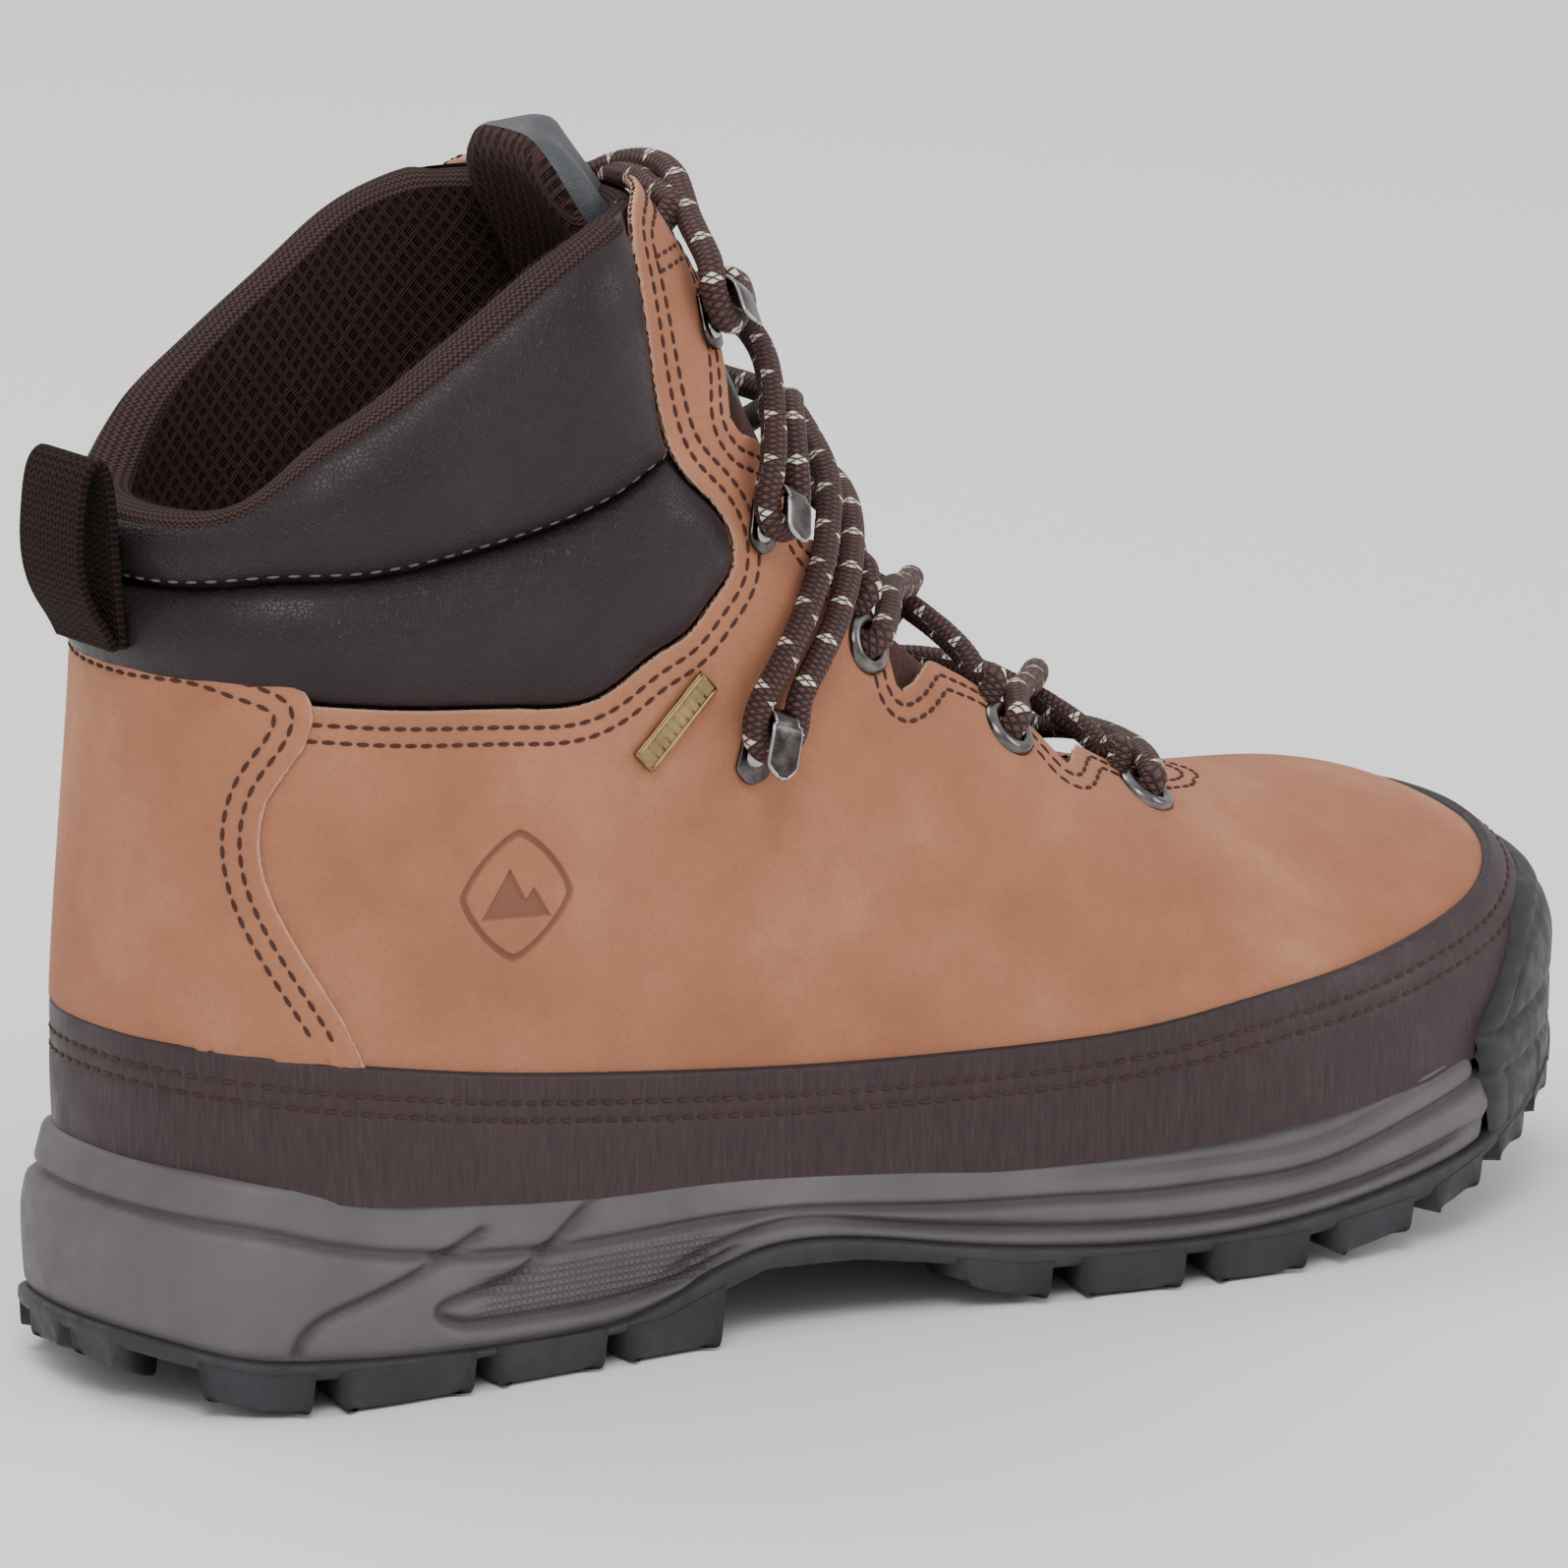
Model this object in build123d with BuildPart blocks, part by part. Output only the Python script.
from build123d import *
import os
from math import cos, sin, pi, radians, sqrt
import numpy as np

# Mid-height lace-up hiking boot, right foot, about EU 42/43.
# Frame: millimetres, +X to the toe, +Y to the inside of the foot,
# +Z up, origin on the ground under the middle of the outsole.

os.makedirs("parts", exist_ok=True)

# ----------------------------- driving dimensions --------------------
GAP = 0.1              # assembly clearance between layers
UPPER_T = 1.8          # nubuck thickness
OVERLAY_T = 1.6        # rand and heel overlay thickness
STIFFENER_T = 1.2      # heel counter and toe puff
MEMBRANE_T = 0.5       # waterproof bootie
LINING_T = 1.4         # spacer-mesh lining
LINING_DEPTH = 3.9     # nubuck face to lining, away from the collar
PAD_PROUD = 1.5        # how far the collar rolls stand proud of the nubuck
COLLAR_PAD = 4.0       # extra padding depth behind the collar
BINDING_H = 3.6        # knit piping on the collar edge
FOAM_DROP = 3.0        # collar foam top below the piping
GUSSET_DEPTH = 0.9     # lining to the inner face of the gusset
TONGUE_DEPTH = 1.3     # lining to the outer face of the tongue
TONGUE_SKIN = 1.2
TONGUE_FOAM = 4.2
INSOLE_BOARD_T = 2.0
FOOTBED_T = 5.0
FOOTBED_LIFT = 2.6     # underside of the footbed above the feather line
FOOTBED_INSET = 1.2    # lining to the edge of the footbed
BUMPER_T = 7           # wall of the toe bumper
LUG_H = 4.6            # tread depth
LACE_D = 4.6
LOOP_W = 19.0          # pull-loop webbing width
HALF_SPAN = 90         # half width of the prisms that trim the upper
SOLE_SPAN = 80         # the same for the sole pieces

EYELET_OD = 11.0
EYELET_ID = 5.8
BARREL_R = 3.5
LACE_HOLE_R = 3.75
HOOK_W = 5.0
EYELETS = [(54.6, 79.5), (23.5, 94.8), (-9.0, 114.6)]          # (x, z), bottom to top
HOOKS = [(-36.3, 104.1), (-33.7, 140.7), (-40.9, 174.9)]       # (x, z), bottom to top
SIDES = (-1, 1)                                                # outside, inside of the foot

# ----------------------------- outlines ------------------------------
# side-view curves (x, z): instep and toe, back of the heel, where upper meets
# sole, top of the rand, underside of the midsole, ground side of the tread
RIDGE = [(-62, 222), (-50, 205), (-40, 192), (-30, 177), (-21, 162), (-12, 145.5), (-1, 129),
         (11, 116), (24, 105), (44, 91), (60, 81.5), (77, 77), (97, 75.5), (117, 75),
         (133, 73.5), (147, 70), (160, 62), (174, 48)]
HEEL = [(-144.5, 0), (-144.5, 20), (-145.5, 40), (-145.8, 60), (-144.8, 80), (-143.2, 100),
        (-142, 118), (-142, 135), (-142, 150), (-141, 170), (-141, 200), (-143, 230)]
FEATHER = [(-162, 42.0), (-145, 39.9), (-124.5, 36.8), (-98.3, 33), (-69.3, 29.8),
           (-44.4, 27.9), (-20.2, 26), (4.5, 24.6), (29.9, 24.9), (56.2, 26.8), (83.5, 28.9),
           (105, 31.0), (125, 33.4), (150, 37), (165, 40)]
RAND_TOP = [(-165, 64), (-145.4, 62.5), (-133.9, 60.8), (-114.8, 57.5), (-92.4, 53.3),
            (-69.3, 49.9), (-40.6, 46.6), (-13, 44.8), (9.6, 44.6), (29.8, 45.4), (51.6, 48.1),
            (80.3, 51), (99, 53.8), (117.4, 56.9), (130, 60), (141, 64), (152, 68.5), (165, 72)]
MID_OUT = [(-160, 13.4), (-151, 12.9), (-140.3, 10.2), (-127, 8.9), (-107.2, 7.6), (-94, 7.0),
           (-79.5, 6.6), (-65.4, 7.6), (-57.9, 9.6), (-47.5, 13.4), (-40, 15.4), (-32.6, 16.0),
           (-16.3, 14.3), (0, 11.3), (15.9, 9.3), (32.6, 8.2), (49.5, 8.3), (65.8, 9.6),
           (83.7, 12.2), (108, 16.6), (125, 21.5), (140, 26.6), (153, 31), (165, 35)]
TREAD = [(-160, 12.5), (-152, 6.6), (-145, 3.4), (-136, 1.0), (-126, 0.0), (-47, 0.0),
         (-46.4, 11.2), (-38, 12.9), (-20, 11.9), (-4.5, 9.4), (-3, 6.4), (3, 3.0), (14, 0.6),
         (24, 0.0), (58, 0.0), (72, 1.6), (90, 4.6), (106, 9.4), (120, 14.0), (132, 18.4),
         (144, 22.8), (153, 26.6), (165, 32)]
# plan outline of the sole (x, y), counterclockwise from above
PLAN = [(-152.5, 0), (-150.5, -15), (-143, -29), (-130, -37.5), (-105, -41), (-70, -41),
        (-40, -41.5), (-10, -44.5), (20, -50.5), (50, -56.5), (75, -58.5), (100, -55.5),
        (120, -46), (137, -31), (148, -12), (152.5, 6), (151, 24), (143, 39), (128, 50.5),
        (105, 57), (80, 57), (55, 51.5), (30, 45), (0, 40), (-35, 38), (-70, 39.5), (-105, 41),
        (-130, 37.5), (-143, 29), (-150.5, 15)]
# panel edges seen from the side (x, z)
QUARTER_TOP = [(-122.2, 118.5), (-102.4, 115.9), (-84.1, 114), (-71.1, 113.4), (-65.4, 115.2),
               (-57.8, 119.5), (-50, 123), (-45.7, 127.3), (-40.8, 133.1), (-40.8, 137.9),
               (-44.6, 144.1), (-49.7, 148.8), (-53.6, 154.1), (-55.8, 160.8), (-57, 168.9),
               (-57.6, 178.4), (-57.8, 186.1), (-57.2, 191.0)]
COLLAR_TOP = [(-165, 149), (-139.5, 149.3), (-135.9, 149.9), (-129.5, 153.4), (-121.2, 160.3),
              (-110.3, 166.4), (-100.1, 172.4), (-87.3, 180.3), (-76.1, 187.4), (-67.3, 191.4),
              (-57, 194.6), (-50, 195.4), (-36, 195.4)]
COLLAR_SEAM = [(-165, 137.2), (-138, 137.5), (-128.6, 138.9), (-115.7, 138.9), (-100.3, 140),
               (-83.9, 142.4), (-70.9, 145.3), (-63.4, 148.1), (-57.3, 151.4), (-40, 158)]
COLLAR_LOW = [(-165, 113), (-120, 112), (-80, 110), (-40, 112)]
HEEL_OVERLAY = [(-160, 128.2), (-141.9, 128.2), (-138.5, 128.6), (-131.3, 126.1),
                (-125.6, 123.3), (-122.8, 119.7), (-122.7, 116), (-125.3, 109.8),
                (-128.9, 104.3), (-130.7, 98), (-130.3, 89.4), (-127.3, 80.6), (-123.2, 72.4),
                (-118.8, 64), (-116.4, 58.4)]
TONGUE_SIDE = [(84, 58), (62, 58), (40, 66), (16, 84), (-8, 104), (-32, 124), (-46, 142),
               (-54, 165), (-62, 190), (-66, 205)]
# tongue seen from above (x, y)
TONGUE_PLAN = [(80, 0), (76, 14), (60, 20), (30, 22.5), (0, 23.5), (-30, 24), (-60, 23),
               (-74, 14), (-78, 0), (-74, -14), (-60, -23), (-30, -24), (0, -23.5),
               (30, -22.5), (60, -20), (76, -14)]
# inside half of the opening between the facings, top view (x, y)
OPENING = [(73, 0), (71, 7), (63, 12), (52, 14.5), (43, 15.5), (36, 20.5), (31, 16.5),
           (20, 17.5), (12, 19.5), (4, 25.5), (-1, 21.5), (-10, 24), (-18, 28), (-30, 29.3),
           (-38.5, 29), (-39, 0)]


# ----------------------------- profile helpers -----------------------
# A profile is a list of curves; two points make a line, more make a spline.
def lift(table, rise):
    return [(x, z + rise) for x, z in table]


def path(points):
    """Straight runs through the points."""
    return [[a, b] for a, b in zip(points[:-1], points[1:])]


def polygon(points):
    return path(points + points[:1])


def band(lower, upper):
    """Strip between two curves, closed by a line at each end."""
    return [lower, upper, [lower[0], upper[0]], [lower[-1], upper[-1]]]


def draw(profile):
    """Put a profile into the open BuildLine."""
    for points in profile:
        if len(points) == 2:
            Line(*points)
        else:
            Spline(*points)


def save(name, part):
    part.label = name
    export_step(part, f"parts/{name}.step")


# ----------------------------- foot form -----------------------------
def spline1d(table):
    """Natural cubic through (x, value) rows, held constant outside."""
    rows = np.array(table, float)
    x, y = rows[:, 0], rows[:, 1]
    n = len(x) - 1
    h = np.diff(x)
    matrix = np.zeros((n + 1, n + 1))
    rhs = np.zeros(n + 1)
    matrix[0, 0] = matrix[n, n] = 1.0
    for i in range(1, n):
        matrix[i, i - 1:i + 2] = h[i - 1], 2 * (h[i - 1] + h[i]), h[i]
        rhs[i] = 3 * ((y[i + 1] - y[i]) / h[i] - (y[i] - y[i - 1]) / h[i - 1])
    square = np.linalg.solve(matrix, rhs)
    slope = (y[1:] - y[:-1]) / h - h * (2 * square[:-1] + square[1:]) / 3
    cube = (square[1:] - square[:-1]) / (3 * h)

    def value(q):
        q = np.clip(np.asarray(q, float), x[0], x[-1])
        i = np.clip(np.searchsorted(x, q, side="right") - 1, 0, n - 1)
        u = q - x[i]
        return y[i] + slope[i] * u + square[i] * u * u + cube[i] * u ** 3
    return value


def side_distance(table, step=1.0):
    """Signed distance to a side-view curve, read from a grid.

    Positive to the right of the curve's run, which is inside the boot.
    """
    knots = np.array(table, float)
    run = np.r_[0, np.cumsum(np.hypot(*np.diff(knots, axis=0).T))]
    curve_x, curve_z = spline1d(np.c_[run, knots[:, 0]]), spline1d(np.c_[run, knots[:, 1]])
    samples = np.linspace(0, run[-1], 140)
    curve = np.c_[curve_x(samples), curve_z(samples)]
    grid_x, grid_z = np.arange(-190, 201, step), np.arange(-20, 261, step)
    mesh = np.meshgrid(grid_x, grid_z, indexing="ij")
    points = np.stack(mesh, -1).reshape(-1, 2)
    nearest = np.full(len(points), 1e9)
    sign = np.ones(len(points))
    for a, b in zip(curve[:-1], curve[1:]):
        d = b - a
        u = np.clip(((points - a) @ d) / (d @ d), 0, 1)
        r = points - (a + u[:, None] * d)
        dist = np.hypot(r[:, 0], r[:, 1])
        closer = dist < nearest
        nearest[closer] = dist[closer]
        sign[closer] = np.sign(d[0] * r[closer, 1] - d[1] * r[closer, 0])
    grid = (-nearest * sign).reshape(mesh[0].shape)

    def distance(x, z):
        a = np.clip((x - grid_x[0]) / step, 0, len(grid_x) - 1.001)
        b = np.clip((z - grid_z[0]) / step, 0, len(grid_z) - 1.001)
        i, j = a.astype(int), b.astype(int)
        u, v = a - i, b - j
        return (grid[i, j] * (1 - u) * (1 - v) + grid[i + 1, j] * u * (1 - v)
                + grid[i, j + 1] * (1 - u) * v + grid[i + 1, j + 1] * u * v)
    return distance


ridge_distance, heel_distance = side_distance(RIDGE), side_distance(HEEL)
feather_z = spline1d(FEATHER)
# rounding depth behind the ridge (by x) and in front of the heel (by z)
ridge_round = spline1d([(-60, 38), (-30, 40), (0, 42), (30, 46), (60, 50), (90, 43), (120, 34),
                        (150, 27), (180, 24)])
heel_round = spline1d([(0, 40), (40, 40), (80, 38), (110, 37), (150, 42), (230, 46)])
# centre line, half widths of the foot on each side and of the shaft, all by x
centre_y = spline1d([(-160, 0), (-100, 0), (-40, 1), (20, 0), (70, -1), (110, 4), (150, 12),
                     (180, 18)])
half_outside = spline1d([(-160, 36.5), (-110, 36.5), (-60, 36.5), (-20, 39), (20, 46), (55, 53),
                         (90, 54), (130, 53), (180, 50)])
half_inside = spline1d([(-160, 36.5), (-110, 36.5), (-60, 34.5), (-20, 35), (20, 40), (60, 48),
                        (90, 50), (130, 49), (180, 46)])
half_shaft = spline1d([(-160, 33), (-100, 35), (-60, 37), (-20, 36), (20, 34), (60, 34)])
# x of the toe tip, by z
toe_x = spline1d([(20, 148.5), (40, 150), (60, 149), (80, 146), (120, 136)])
TOE_START = 62         # x where the toe begins to round off
SHAFT_BLEND = (45, 75)  # foot width turns into shaft width: start z, height


def smooth_step(x):
    x = np.clip(x, 0, 1)
    return x * x * (3 - 2 * x)


def form(p):
    """Rounded norm of the foot form: 1 on the outer face of the nubuck."""
    x, y, z = p[..., 0], p[..., 1], p[..., 2]
    v = y - centre_y(x)
    shaft = smooth_step((z - SHAFT_BLEND[0]) / SHAFT_BLEND[1])
    half = np.where(v < 0, half_outside(x), half_inside(x)) * (1 - shaft) + half_shaft(x) * shaft
    ridge = np.clip(1 - ridge_distance(x, z) / ridge_round(x), 0, 3)
    heel = np.clip(1 - heel_distance(x, z) / heel_round(z), 0, 3)
    toe = np.clip((x - TOE_START) / (toe_x(z) - TOE_START), 0, 3)
    sole = np.clip(1 - (z - feather_z(x) + 16) / 14, 0, 3)
    total = np.abs(v / half) ** 2.3 + ridge ** 2.3 + heel ** 2.2 + toe ** 3.0 + sole ** 2.3
    return total ** (1 / 2.3)


def depth(p, h=0.4):
    """Signed distance to the nubuck face, + outside."""
    gradient = np.zeros(p.shape)
    for k in range(3):
        e = np.zeros(3)
        e[k] = h
        gradient[..., k] = (form(p + e) - form(p - e)) / (2 * h)
    return (form(p) - 1) / np.maximum(np.linalg.norm(gradient, axis=-1), 1e-4)


def normal(p, h=0.4):
    p = np.array(p, float)
    gradient = np.array([form(p + h * e) - form(p - h * e) for e in np.eye(3)])
    return gradient / np.linalg.norm(gradient)


def on_form(point_at, inside, outside, off):
    """Where point_at(t) crosses the form, moved off along the normal."""
    for _ in range(40):
        middle = (inside + outside) / 2
        if float(depth(point_at(middle))) < 0:
            inside = middle
        else:
            outside = middle
    p = point_at(inside)
    return p + off * normal(p)


def on_side(x, z, side, off=0.0):
    """Point of the form at (x, z) on one side."""
    return on_form(lambda t: np.array([x, float(centre_y(x)) + side * t, z]), 0.0, 75.0, off)


def on_top(x, y, off=0.0):
    """Point of the form above (x, y)."""
    z = float(np.interp(x, [r[0] for r in RIDGE], [r[1] for r in RIDGE]))
    return on_form(lambda t: np.array([x, y, t]), z - 30, z + 6, off)


def surface_plane(x, z, side, direction, off=0.0):
    """Plane tangent to the form, its x axis along direction laid onto the surface."""
    p = on_side(x, z, side)
    n = normal(p)
    along = np.array(direction)
    along = along - n * (along @ n)
    along /= np.linalg.norm(along)
    return Plane(origin=tuple(p + n * off), x_dir=tuple(along), z_dir=tuple(n))


# ----------------------------- lofted forms --------------------------
FAN_X, FAN_Z = 42, 168     # centre of the fan of section planes at the ankle bend
FAN_R, FAN_BULGE = 112, 14
SHAFT_STATIONS = [(-90, 214), (-84, 196), (-76, 180)]      # (x, z)
FAN_ANGLES = (0, 10, 20, 30, 40, 50, 60, 75, 90)
# (x, share of the toe shift)
TOE_STATIONS = [(62, 0), (84, .1), (104, .3), (120, .5), (132, .7), (141, .9), (146.2, 1),
                (148.8, 1)]
RAYS = 96              # rays cast in each section
RING_POINTS = 40       # evenly spaced points kept from them


def stations(toe_shift):
    """((x, z), tilt) of planes from the horizontal shaft to the vertical toe."""
    planes = [(origin, 0.0) for origin in SHAFT_STATIONS]
    for angle in FAN_ANGLES:
        tilt = radians(angle)
        radius = FAN_R + FAN_BULGE * sin(2 * tilt)
        planes.append(((FAN_X - radius * cos(tilt), FAN_Z - radius * sin(tilt)), tilt))
    for x, share in TOE_STATIONS:
        x = x + share * toe_shift
        planes.append(((x, FAN_Z - FAN_R - 15 * min(1, (x - FAN_X) / 70)), pi / 2))
    return planes


def section(origin, tilt, off):
    """Ring where the form is off (a function or number) from the nubuck face."""
    down = np.array([-cos(tilt), 0, -sin(tilt)])
    across = np.array([0, 1.0, 0])
    centre = np.array([origin[0], float(centre_y(origin[0])), origin[1]])
    angles = np.linspace(0, 2 * pi, RAYS, endpoint=False)
    rays = np.cos(angles)[:, None] * down + np.sin(angles)[:, None] * across

    def value(t):
        p = centre + rays * t[:, None]
        return depth(p) - (off(p) if callable(off) else off)

    # march outward to the first crossing of each ray, then bisect
    low, high = np.zeros(RAYS), np.full(RAYS, 200.0)
    found = np.zeros(RAYS, bool)
    for t in np.arange(6.0, 204, 6.0):
        new = (~found) & (value(np.full(RAYS, t)) > 0)
        high[new], low[new] = t, t - 6.0
        found |= new
        if found.all():
            break
    for _ in range(15):
        middle = (low + high) / 2
        inside = value(middle) < 0
        low, high = np.where(inside, middle, low), np.where(inside, high, middle)
    t = (low + high) / 2
    ring = np.c_[t * np.cos(angles), t * np.sin(angles)]
    ring = np.vstack([ring, ring[:1]])
    points = []
    for half in (ring[:RAYS // 2 + 1], ring[RAYS // 2:]):
        run = np.r_[0, np.cumsum(np.hypot(*np.diff(half, axis=0).T))]
        for a in np.linspace(0, run[-1], RING_POINTS // 2 + 1)[:-1]:
            points.append((float(np.interp(a, run, half[:, 0])),
                           float(np.interp(a, run, half[:, 1]))))
    return centre, down, points


def last_solid(off, toe_shift, count=None):
    """Closed foot form, offset from the nubuck face, through the first count stations."""
    with BuildPart() as body:
        for origin, tilt in stations(toe_shift)[:count]:
            centre, down, ring = section(origin, tilt, off)
            plane = Plane(origin=tuple(centre), x_dir=tuple(down),
                          z_dir=(sin(tilt), 0, -cos(tilt)))
            with BuildSketch(plane):
                with BuildLine():
                    # inside and outside half rings; the same knots on every
                    # ring keep the surface light
                    h = len(ring) // 2
                    knots = [k / h for k in range(h + 1)]
                    add(Edge.make_spline(ring[:h + 1], parameters=knots))
                    add(Edge.make_spline(ring[h:] + [ring[0]], parameters=knots))
                make_face()
        loft()
    return body.part


def lining_out(p):
    """Outer face of the lining: near the nubuck low down, deep behind the collar padding."""
    collar = smooth_step((p[..., 2] - 108) / 26) * smooth_step((-28 - p[..., 0]) / 26)
    return -(LINING_DEPTH + COLLAR_PAD * collar)


def inside_lining(extra):
    """Offset function: extra beyond the inner face of the lining."""
    return lambda p: lining_out(p) - LINING_T - extra


def tongue_at(extra):
    """Tongue layers: deep under the instep, fading out towards the heel."""
    def offset_at(p):
        fade = smooth_step((ridge_distance(p[..., 0], p[..., 2]) - 42) / 24)
        return inside_lining(TONGUE_DEPTH)(p) - extra * (1 - fade)
    return offset_at


STIFFENER_DEPTH = UPPER_T + GAP
MEMBRANE_DEPTH = STIFFENER_DEPTH + STIFFENER_T + GAP

# each face of a layer as a solid: (offset from the nubuck, shift of the toe)
OVERLAY_OUTER = last_solid(GAP + OVERLAY_T, 1.4)
OVERLAY_INNER = last_solid(GAP, 0.1)
NUBUCK_OUTER = last_solid(0, 0)
NUBUCK_INNER = last_solid(-UPPER_T, -1.6)
STIFFENER_OUTER = last_solid(-STIFFENER_DEPTH, -1.7)
STIFFENER_INNER = last_solid(-STIFFENER_DEPTH - STIFFENER_T, -2.8)
MEMBRANE_OUTER = last_solid(-MEMBRANE_DEPTH, -2.9)
MEMBRANE_INNER = last_solid(-MEMBRANE_DEPTH - MEMBRANE_T, -3.3)
LINING_OUTER = last_solid(lining_out, -3.6)
LINING_INNER = last_solid(inside_lining(0), -4.9)
ROLL_OUTER = last_solid(PAD_PROUD, 1.2)
FOAM_INNER = last_solid(lambda p: lining_out(p) + GAP, -3.5)
GUSSET_OUTER = last_solid(inside_lining(GAP), -5.0)
GUSSET_INNER = last_solid(inside_lining(GUSSET_DEPTH), -5.6)
FOAM_START = TONGUE_SKIN + GAP
FOAM_END = FOAM_START + TONGUE_FOAM
# cover, foam and lining of the tongue, outer and inner face of each
TONGUE_FACES = [last_solid(tongue_at(extra), -6.2, 15) for extra in
                (0, TONGUE_SKIN, FOAM_START, FOAM_END, FOAM_END + GAP,
                 FOAM_END + GAP + TONGUE_SKIN)]
FOOTBED_OUTER = last_solid(inside_lining(FOOTBED_INSET), -6.2)

# ----------------------------- sole ----------------------------------
# inner wall of the toe bumper, inside the outline
TOE_INSET = []
for i in range(len(PLAN)):
    (x0, y0), (x1, y1) = PLAN[i - 1], PLAN[(i + 1) % len(PLAN)]
    chord = sqrt((x1 - x0) ** 2 + (y1 - y0) ** 2)
    TOE_INSET.append((PLAN[i][0] - BUMPER_T * (y1 - y0) / chord,
                      PLAN[i][1] + BUMPER_T * (x1 - x0) / chord))

with BuildPart() as toe_trim:
    with BuildSketch(Plane.XY):
        with Locations((146, 0)):
            Rectangle(80, 180)
        with BuildLine():
            Spline(*TOE_INSET, periodic=True)
        make_face(mode=Mode.SUBTRACT)
    extrude(amount=70)

POCKET_HALF_W = 8.2
POCKET_TOP = 34.8
pocket_floor = lift([(x, z) for x, z in FEATHER if -70 <= x <= 31], -1.9)
pocket_corners = [(pocket_floor[0][0], POCKET_TOP), (pocket_floor[-1][0], POCKET_TOP)]

with BuildPart() as midsole:
    with BuildSketch(Plane.XZ):
        with BuildLine():
            draw(band(lift(MID_OUT, GAP), FEATHER))
        make_face()
    extrude(amount=SOLE_SPAN, both=True)
    with BuildSketch(Plane.XY):
        with BuildLine():
            Spline(*[(x * 0.9955, y * 0.988) for x, y in PLAN], periodic=True)
        make_face()
    extrude(amount=90, mode=Mode.INTERSECT)
    # the toe end is cut back inside the rubber bumper
    add(toe_trim.part, mode=Mode.SUBTRACT)
    # shank pocket in the top of the arch
    with BuildSketch(Plane.XZ):
        with BuildLine():
            draw([pocket_floor, *path([pocket_floor[0], *pocket_corners, pocket_floor[-1]])])
        make_face()
    extrude(amount=POCKET_HALF_W, both=True, mode=Mode.SUBTRACT)
save("midsole", midsole.part)

SHANK_HALF_W = 7.8
SHANK_LINE = [(-68.6, 29.75), (-44.4, 27.9), (-20.2, 26), (4.5, 24.6), (29.3, 24.85)]  # (x, z)
with BuildPart() as shank:
    with BuildSketch(Plane.XZ):
        with BuildLine():
            draw(band(lift(SHANK_LINE, -1.75), lift(SHANK_LINE, -0.25)))
        make_face()
    extrude(amount=SHANK_HALF_W, both=True)
save("shank", shank.part)

# channels between the edge lugs: (x, z of the tread there, width)
EDGE_CHANNELS = [(-141, 0, 5), (-121, 0, 5), (-92, 0, 4), (-67, 0, 4.5), (18.5, 0.2, 5),
                 (43, 0, 5), (66, 1, 6), (90, 4.6, 5.5), (107, 9.6, 4.5), (122, 15.4, 4)]
LONG_CHANNELS = [(-146, -46), (-2, 128)]       # (start x, end x)
CHANNEL_BELOW = 6      # channel cutters start this far under the tread

with BuildPart() as tread_sole:
    with BuildSketch(Plane.XZ):
        with BuildLine():
            draw([MID_OUT, *path(TREAD), [MID_OUT[0], TREAD[0]], [MID_OUT[-1], TREAD[-1]]])
        make_face()
    extrude(amount=SOLE_SPAN, both=True)
    with BuildSketch(Plane.XY):
        with BuildLine():
            Spline(*PLAN, periodic=True)
        make_face()
    extrude(amount=90, mode=Mode.INTERSECT)
    # transverse channels between the edge lugs, following the tread curve
    for x, z, width in EDGE_CHANNELS:
        for side in SIDES:
            with BuildSketch(Plane(origin=(x, 0, z - CHANNEL_BELOW))):
                with Locations(Location((4 * side, side * 40, 0), (0, 0, 12 * side))):
                    Rectangle(width, 46)
            extrude(amount=CHANNEL_BELOW + LUG_H, mode=Mode.SUBTRACT)
    # long channels that split the centre lugs
    for x0, x1 in LONG_CHANNELS:
        for y in (-17, 17):
            with BuildSketch(Plane(origin=((x0 + x1) / 2, y, -CHANNEL_BELOW))):
                Rectangle(x1 - x0, 4.2)
            extrude(amount=CHANNEL_BELOW + LUG_H, mode=Mode.SUBTRACT)

# toe bumper: a rubber wall in front of the rand, side view (x, z)
BUMPER_SIDE = [(106.4, 17.5), (106.4, 31.5), (112, 36), (120, 47), (128, 54), (138, 57),
               (160, 58), (160, 32.5), (140, 25.6), (125, 20.6), (110, 16.2)]
with BuildPart() as bumper:
    with BuildSketch(Plane.XY.offset(14)):
        with BuildLine():
            Spline(*PLAN, periodic=True)
        make_face()
        with BuildLine():
            Spline(*TOE_INSET, periodic=True)
        make_face(mode=Mode.SUBTRACT)
    extrude(amount=46)
    add(OVERLAY_OUTER, mode=Mode.SUBTRACT)
    with BuildSketch(Plane.XZ):
        with BuildLine():
            draw(polygon(BUMPER_SIDE))
        make_face()
    extrude(amount=HALF_SPAN, both=True, mode=Mode.INTERSECT)

with BuildPart() as outsole:
    add(tread_sole.part)
    add(bumper.part)
save("outsole", outsole.part)


def foot_slab(bottom, thickness, outer):
    """Slab that follows the feather line, bottom above it, trimmed to a foot form."""
    with BuildPart() as slab:
        with BuildSketch(Plane.XZ):
            with BuildLine():
                draw(band(lift(FEATHER, bottom), lift(FEATHER, bottom + thickness)))
            make_face()
        extrude(amount=SOLE_SPAN, both=True)
        add(outer, mode=Mode.INTERSECT)
    return slab.part


save("insole_board", foot_slab(GAP, INSOLE_BOARD_T, GUSSET_OUTER))
save("footbed", foot_slab(FOOTBED_LIFT, FOOTBED_T, FOOTBED_OUTER))

# ----------------------------- upper helpers -------------------------
EYELET_PLANES = [surface_plane(x, z, side, (1, 0, 0)) for x, z in EYELETS for side in SIDES]


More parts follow.
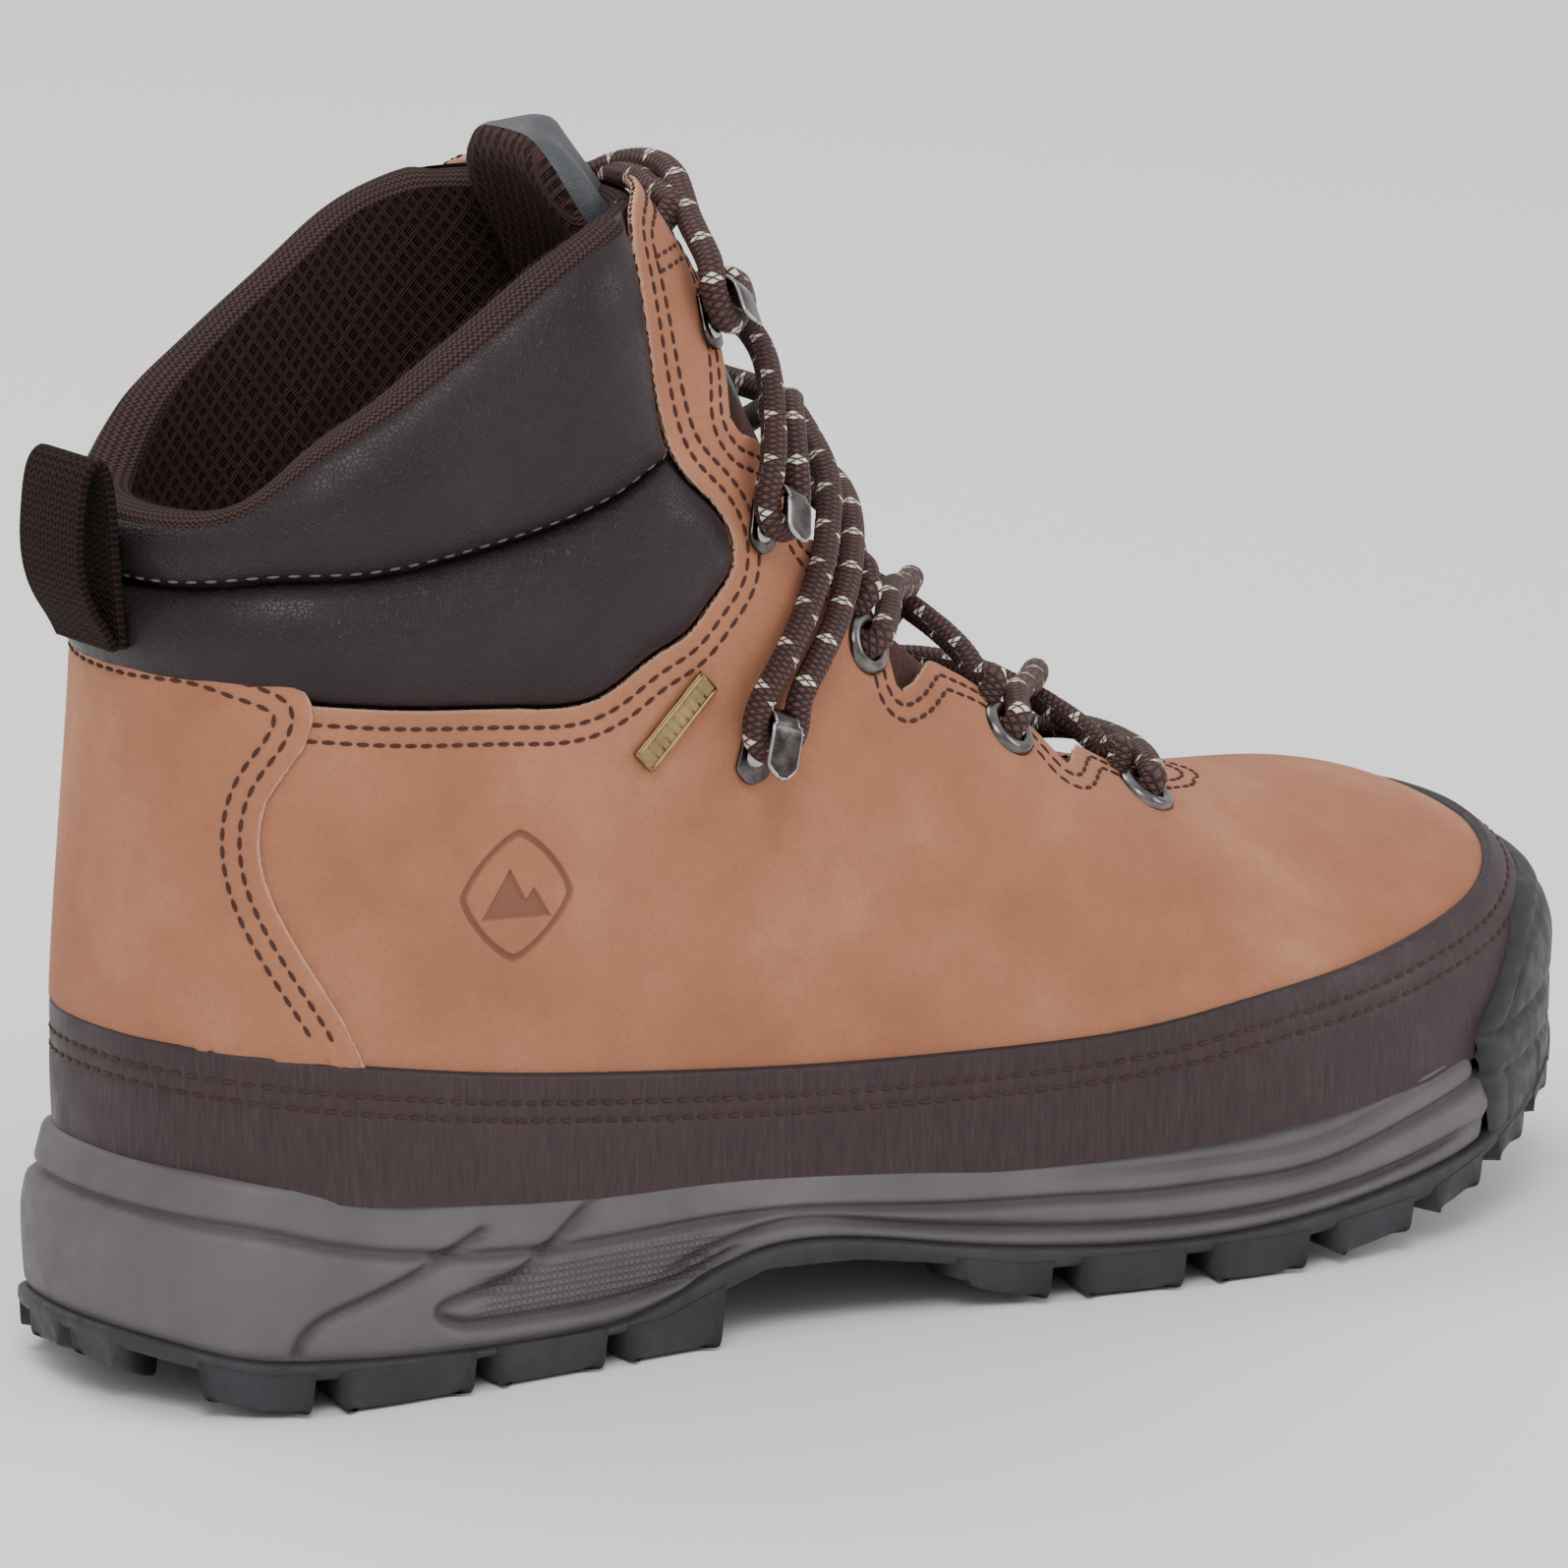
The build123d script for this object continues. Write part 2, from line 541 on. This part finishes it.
def opening_cut(grow):
    """Tongue opening as a vertical prism, both sides mirrored."""
    with BuildPart() as cut:
        with BuildSketch(Plane.XY.offset(60)):
            with BuildLine():
                mirrored = [(x, -y) for x, y in reversed(OPENING[1:-1])]
                Polyline(*(OPENING + mirrored), close=True)
            make_face()
            if grow:
                offset(amount=grow)
        extrude(amount=180)
        # notch between the two facing tops
        with BuildSketch(Plane.XY.offset(176)):
            with Locations((-52, 0)):
                Rectangle(32, 2 * (13.5 + grow))
        extrude(amount=60)
    return cut.part


def side_prism(profile):
    """Side-view profile carried across the whole boot."""
    with BuildPart() as prism:
        with BuildSketch(Plane.XZ):
            with BuildLine():
                draw(profile)
            make_face()
        extrude(amount=HALF_SPAN, both=True)
    return prism.part


def layer(profile, outer, inner, cuts=(), hole_depth=0):
    """Shell between two foot forms inside a side-view profile.

    The cuts are taken out next, then lace holes that start hole_depth under
    the nubuck face.
    """
    with BuildPart() as shell:
        with BuildSketch(Plane.XZ):
            with BuildLine():
                draw(profile)
            make_face()
        extrude(amount=HALF_SPAN, both=True)
        add(outer, mode=Mode.INTERSECT)
        add(inner, mode=Mode.SUBTRACT)
        for cut in cuts:
            add(cut, mode=Mode.SUBTRACT)
        if hole_depth:
            for plane in EYELET_PLANES:
                with BuildSketch(plane.offset(-hole_depth)):
                    Circle(LACE_HOLE_R)
                extrude(amount=hole_depth + 6, mode=Mode.SUBTRACT)
    return shell.part


# ----------------------------- upper ---------------------------------
NUBUCK_OPENING = opening_cut(0.0)
LINING_OPENING = opening_cut(1.2)
SOLE_EDGE = lift(FEATHER, GAP)
ABOVE_TOE = (170, 110)         # profile corners clear of the boot
ABOVE_INSTEP = (-20, 225)

save("nubuck_upper", layer(
    [SOLE_EDGE,
     *path([SOLE_EDGE[-1], ABOVE_TOE, ABOVE_INSTEP, (-40, 196.5), (-55, 197.0),
            QUARTER_TOP[-1]]),
     QUARTER_TOP,
     *path([QUARTER_TOP[0], (-162, 121), SOLE_EDGE[0]])],
    NUBUCK_OUTER, NUBUCK_INNER, [NUBUCK_OPENING], hole_depth=6))

save("rand", layer(band(SOLE_EDGE, RAND_TOP), OVERLAY_OUTER, OVERLAY_INNER))

save("heel_overlay", layer(
    [*path([(-160, 64.5), *HEEL_OVERLAY[:2]]),
     HEEL_OVERLAY[1:],
     *path([HEEL_OVERLAY[-1], (-133.9, 61.4), (-160, 64.5)])],
    OVERLAY_OUTER, OVERLAY_INNER))

save("heel_counter", layer(
    polygon([(-160, 41.5), (-145, 40.4), (-124.5, 37.3), (-98, 33.5), (-82, 32.2), (-84, 60),
             (-100, 88), (-118, 100), (-160, 104)]),
    STIFFENER_OUTER, STIFFENER_INNER))

save("toe_puff", layer(
    polygon([(96, 31.2), (125, 33.6), (165, 37.6), (165, 100), (100, 100), (96, 60)]),
    STIFFENER_OUTER, STIFFENER_INNER))

save("membrane_bootie", layer(
    [SOLE_EDGE,
     *path([SOLE_EDGE[-1], ABOVE_TOE, (-36, 110), (-46, 79), (-88, 76), (-104, 67),
            (-162, 67), SOLE_EDGE[0]])],
    MEMBRANE_OUTER, MEMBRANE_INNER, [LINING_OPENING], hole_depth=8))

UNDER_BINDING = lift(COLLAR_TOP, -BINDING_H - GAP)
save("lining", layer(
    [SOLE_EDGE,
     *path([SOLE_EDGE[-1], ABOVE_TOE, ABOVE_INSTEP, UNDER_BINDING[-1]]),
     UNDER_BINDING[::-1],
     [UNDER_BINDING[0], SOLE_EDGE[0]]],
    LINING_OUTER, LINING_INNER, [LINING_OPENING], hole_depth=10))

# ----------------------------- collar --------------------------------
HALF_SEAM = 0.4        # each roll stops this far from the seam between them
# nubuck edge with its clearance, from the front top down to the back
QUARTER_CLEAR = [(x - 0.5, z + 0.3) for x, z in reversed(QUARTER_TOP)]
# heel overlay zone with its clearance
OVERLAY_CLEAR = [(-170, 60), (-170, 128.6), (-141.9, 128.6), (-138.2, 129.0), (-130.9, 126.5),
                 (-125.2, 123.7), (-122.3, 120.0), (-122.2, 116), (-122, 60)]


def collar_roll(lower, upper):
    """Padded roll around the collar, kept behind and above the nubuck edge."""
    nubuck_zone = side_prism(
        [*path([(-10, 225), (-55, 225), QUARTER_CLEAR[0]]),
         QUARTER_CLEAR,
         *path([QUARTER_CLEAR[-1], (-162, 121.3), (-162, 60), (-10, 60), (-10, 225)])])
    overlay_zone = side_prism(polygon(OVERLAY_CLEAR))
    return layer(band(lower, upper), ROLL_OUTER, NUBUCK_INNER, [nubuck_zone, overlay_zone])


save("collar_lower_roll", collar_roll(COLLAR_LOW, lift(COLLAR_SEAM, -HALF_SEAM)))
save("collar_upper_roll", collar_roll(lift(COLLAR_SEAM, HALF_SEAM), UNDER_BINDING))

BINDING_TOP = COLLAR_TOP[:-2]
foam_top = lift(BINDING_TOP, -BINDING_H - FOAM_DROP)
save("collar_foam", layer(
    [foam_top, *path([foam_top[0], (-165, 117), (-50, 117), (-46, 150), foam_top[-1]])],
    STIFFENER_OUTER, FOAM_INNER))

in_front_of_binding = side_prism(
    polygon([(-57.6, 160), (-57.6, 191.4), (-56.9, 230), (-20, 230), (-20, 160)]))
save("collar_binding", layer(
    band(lift(BINDING_TOP, -BINDING_H), BINDING_TOP),
    NUBUCK_OUTER, LINING_INNER, [in_front_of_binding]))


# ----------------------------- tongue --------------------------------
def tongue_layer(outer, inner, trim=0.0):
    """One layer of the tongue; trim lowers its top edge."""
    with BuildPart() as tongue:
        with BuildSketch(Plane.XZ):
            with BuildLine():
                draw([TONGUE_SIDE,
                      *path([TONGUE_SIDE[-1], (-58, 208 - trim), (-40, 206 - trim), (100, 206),
                             (100, 58), TONGUE_SIDE[0]])])
            make_face()
        extrude(amount=HALF_SPAN, both=True)
        add(outer, mode=Mode.INTERSECT)
        add(inner, mode=Mode.SUBTRACT)
        with BuildSketch(Plane.XY.offset(40)):
            with BuildLine():
                Spline(*TONGUE_PLAN, periodic=True)
            make_face()
        extrude(amount=190, mode=Mode.INTERSECT)
    return tongue.part


save("tongue_cover", tongue_layer(*TONGUE_FACES[0:2]))
save("tongue_foam", tongue_layer(*TONGUE_FACES[2:4], trim=2.0))
save("tongue_lining", tongue_layer(*TONGUE_FACES[4:6]))

# the gusset is cut away along the middle, leaving one web on each side
with BuildPart() as middle_strip:
    with BuildSketch(Plane.XY.offset(40)):
        Rectangle(300, 24)
    extrude(amount=190)
save("tongue_gusset", layer(
    polygon([(72, 62), (30, 80), (0, 98), (-22, 118), (-40, 146), (-28, 150), (-10, 130),
             (20, 112), (60, 96), (72, 90)]),
    GUSSET_OUTER, GUSSET_INNER, [middle_strip.part], hole_depth=12))

# ----------------------------- eyelets and hooks ---------------------
FLANGE_LIFT = 0.5      # eyelet flange above the nubuck face
BARREL_DEPTH = 5.0     # eyelet barrel below it
METAL_T = 0.9          # eyelet flange and hook base

with BuildPart() as eyelets:
    for plane in EYELET_PLANES:
        with BuildSketch(plane.offset(FLANGE_LIFT)):
            Circle(EYELET_OD / 2)
            Circle(EYELET_ID / 2, mode=Mode.SUBTRACT)
        extrude(amount=METAL_T)
        with BuildSketch(plane.offset(-BARREL_DEPTH)):
            Circle(BARREL_R)
            Circle(EYELET_ID / 2, mode=Mode.SUBTRACT)
        extrude(amount=BARREL_DEPTH + FLANGE_LIFT)
save("eyelets", eyelets.part)

# the hooks open away from the tongue, back and down along the side
HOOK_PLANES = [surface_plane(x, z, side, (-0.75, 0, -0.35)) for x, z in HOOKS for side in SIDES]
# hook bent from strip: (along the surface, away from it)
HOOK_PROFILE = [(-5.6, 1.0), (-5.6, 6.6), (-4.2, 8.0), (3.4, 8.8), (4.6, 7.4), (3.4, 7.0),
                (-3.2, 6.4), (-4.2, 5.6), (-4.2, 1.0)]
HOOK_BASE_LIFT = 0.45

with BuildPart() as lace_hooks:
    for plane in HOOK_PLANES:
        with BuildSketch(plane.offset(HOOK_BASE_LIFT)):
            SlotOverall(15, 8)
        extrude(amount=METAL_T)
        with BuildSketch(plane * Location((0, HOOK_W / 2, 0), (90, 0, 0))):
            with BuildLine():
                Polyline(*HOOK_PROFILE, close=True)
            make_face()
        extrude(amount=HOOK_W)
save("lace_hooks", lace_hooks.part)

with BuildPart() as hook_rivets:
    for plane in HOOK_PLANES:
        with BuildSketch(plane.offset(HOOK_BASE_LIFT + METAL_T + GAP)):
            with Locations((1.5, 0)):
                Circle(2.2)
        extrude(amount=0.8)
save("hook_rivets", hook_rivets.part)

# ----------------------------- laces ---------------------------------
ANCHOR_LIFT = 4.6      # lace ends above the nubuck face
LOW_PASS, HIGH_PASS = 4.0, 9.6     # lace centre over the form where strands cross


def strand(start, end, height):
    """Round lace from one side to the other, lifted over the tongue."""
    middle = (start + end) / 2
    top = on_top(float(middle[0]), float(centre_y(middle[0])), height)
    quarters = []
    for anchor in (start, end):
        q = anchor * 0.5 + top * 0.5
        quarters.append(q + normal(q) * 3.0)
    with BuildPart() as lace_piece:
        with BuildLine() as route:
            Spline(tuple(start), tuple(quarters[0]), tuple(top), tuple(quarters[1]), tuple(end))
        with BuildSketch(Plane(origin=route.line @ 0, z_dir=route.line % 0)):
            Circle(LACE_D / 2)
        sweep()
    return lace_piece.part


def anchor_pair(x, z):
    """Lace anchors on the outside and the inside of the foot."""
    return [on_side(x, z, side, ANCHOR_LIFT) for side in SIDES]


eyelet_anchors = [anchor_pair(x, z) for x, z in EYELETS]
hook_anchors = [anchor_pair(x + 9.0, z + 3.0) for x, z in HOOKS[1:]]
bottom_shift = np.array([3, 0, 0])
cross_shift = np.array([-4.2, 0, 2.5])     # start of a crossing strand; its end is opposite

with BuildPart() as lace:
    add(strand(eyelet_anchors[0][0] + bottom_shift, eyelet_anchors[0][1] + bottom_shift, 3.2))
    for lower, upper in zip(eyelet_anchors[:-1], eyelet_anchors[1:]):
        add(strand(lower[0] + cross_shift, upper[1] - cross_shift, LOW_PASS))
        add(strand(lower[1] + cross_shift, upper[0] - cross_shift, HIGH_PASS))
    # straight strands between the two upper pairs of hooks
    for outside, inside in hook_anchors:
        add(strand(outside, inside, LOW_PASS))
save("lace", lace.part)

# ----------------------------- small trim ----------------------------
# brass tab on the outside of the ankle
with BuildPart() as side_tab:
    with BuildSketch(surface_plane(-54.2, 108.4, -1, (0.73, 0, 0.68), off=0.25)):
        RectangleRounded(18.5, 4.6, 0.8)
    extrude(amount=0.8)
save("side_tab", side_tab.part)

# webbing loop at the back of the collar, side view (x, z)
LOOP_OUTER = [(-145.4, 129.4), (-145.2, 138), (-145.6, 150), (-146.6, 156.5), (-149.2, 160.0),
              (-152.2, 158), (-153.4, 151), (-152.8, 142), (-150.8, 134), (-149.4, 129.4)]
LOOP_INNER = [(-147.2, 132.4), (-147.0, 140), (-147.3, 149), (-148.2, 154.5), (-149.4, 156.6),
              (-150.8, 154.6), (-151.5, 150), (-151.0, 142.5), (-149.6, 136), (-148.4, 132.4)]
with BuildPart() as pull_loop:
    with BuildSketch(Plane.XZ):
        for outline, mode in ((LOOP_OUTER, Mode.ADD), (LOOP_INNER, Mode.SUBTRACT)):
            with BuildLine():
                draw([outline, [outline[-1], outline[0]]])
            make_face(mode=mode)
    extrude(amount=LOOP_W / 2, both=True)
save("pull_loop", pull_loop.part)
